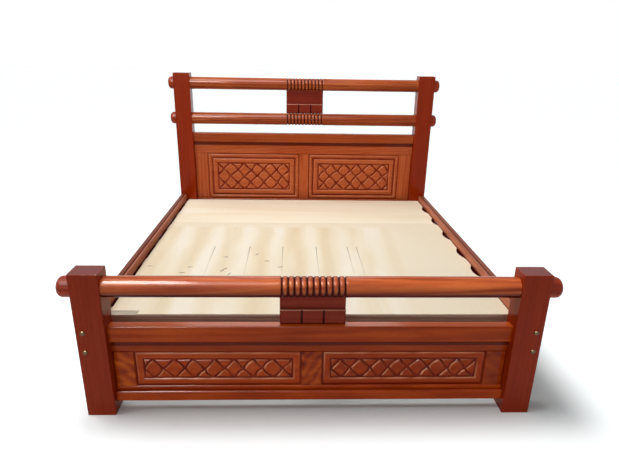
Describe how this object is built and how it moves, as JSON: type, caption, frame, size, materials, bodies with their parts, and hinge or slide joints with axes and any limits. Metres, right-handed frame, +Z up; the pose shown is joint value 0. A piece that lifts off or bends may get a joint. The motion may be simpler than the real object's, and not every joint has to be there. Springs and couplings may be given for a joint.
{
  "type": "bed frame",
  "caption": "Carved hardwood bed frame with square posts, turned beaded rails, lattice-carved panels, bolted side rails and a plywood deck for a mattress.",
  "frame": {"origin": "on the floor, in the middle of the frame's width and length", "axes": "+Z up, +Y along the side rails from the foot to the head, +X to the right of someone who looks from the foot to the head"},
  "size_m": [2.039, 2.1506, 1.335],
  "materials": {
    "post_wood": "dark red-brown hardwood under gloss varnish",
    "rail_wood": "red-brown hardwood with long grain under gloss varnish",
    "panel_wood": "carved red-brown hardwood under gloss varnish",
    "slat_wood": "bare sawn softwood",
    "plywood": "bare plywood",
    "brass": "antique brass plating",
    "plate_steel": "plain mild steel"
  },
  "bodies": {
    "root": {"foot_post_left": "post_wood", "foot_post_right": "post_wood", "head_post_left": "post_wood", "head_post_right": "post_wood", "foot_turned_rail": "rail_wood", "head_turned_rail_lower": "rail_wood", "head_turned_rail_upper": "rail_wood", "foot_knob_left": "rail_wood", "foot_knob_right": "rail_wood", "head_lower_knob_left": "rail_wood", "head_lower_knob_right": "rail_wood", "head_upper_knob_left": "rail_wood", "head_upper_knob_right": "rail_wood", "foot_spacer_block": "panel_wood", "head_spacer_block": "panel_wood", "foot_cap_rail": "rail_wood", "foot_top_rail": "rail_wood", "foot_bottom_rail": "rail_wood", "foot_skirt_rail": "rail_wood", "foot_stile_left": "rail_wood", "foot_stile_middle": "rail_wood", "foot_stile_right": "rail_wood", "foot_panel_left": "panel_wood", "foot_panel_right": "panel_wood", "head_cap_rail": "rail_wood", "head_top_rail": "rail_wood", "head_bottom_rail": "rail_wood", "head_stile_left": "rail_wood", "head_stile_middle": "rail_wood", "head_stile_right": "rail_wood", "head_panel_left": "panel_wood", "head_panel_right": "panel_wood", "side_rail_left": "rail_wood", "side_rail_right": "rail_wood", "ledger_left": "rail_wood", "ledger_right": "rail_wood", "slat_1": "slat_wood", "slat_2": "slat_wood", "slat_3": "slat_wood", "slat_4": "slat_wood", "slat_5": "slat_wood", "slat_6": "slat_wood", "slat_7": "slat_wood", "centre_bearer": "slat_wood", "bearer_block_foot": "slat_wood", "bearer_block_head": "slat_wood", "deck_sheet_foot": "plywood", "deck_sheet_head": "plywood", "bolt_foot_left_upper": "brass", "bolt_foot_left_lower": "brass", "bolt_foot_right_upper": "brass", "bolt_foot_right_lower": "brass", "bolt_head_left_upper": "brass", "bolt_head_left_lower": "brass", "bolt_head_right_upper": "brass", "bolt_head_right_lower": "brass", "nut_plate_foot_left": "plate_steel", "nut_plate_foot_right": "plate_steel", "nut_plate_head_left": "plate_steel", "nut_plate_head_right": "plate_steel"}
  },
  "joints": []
}
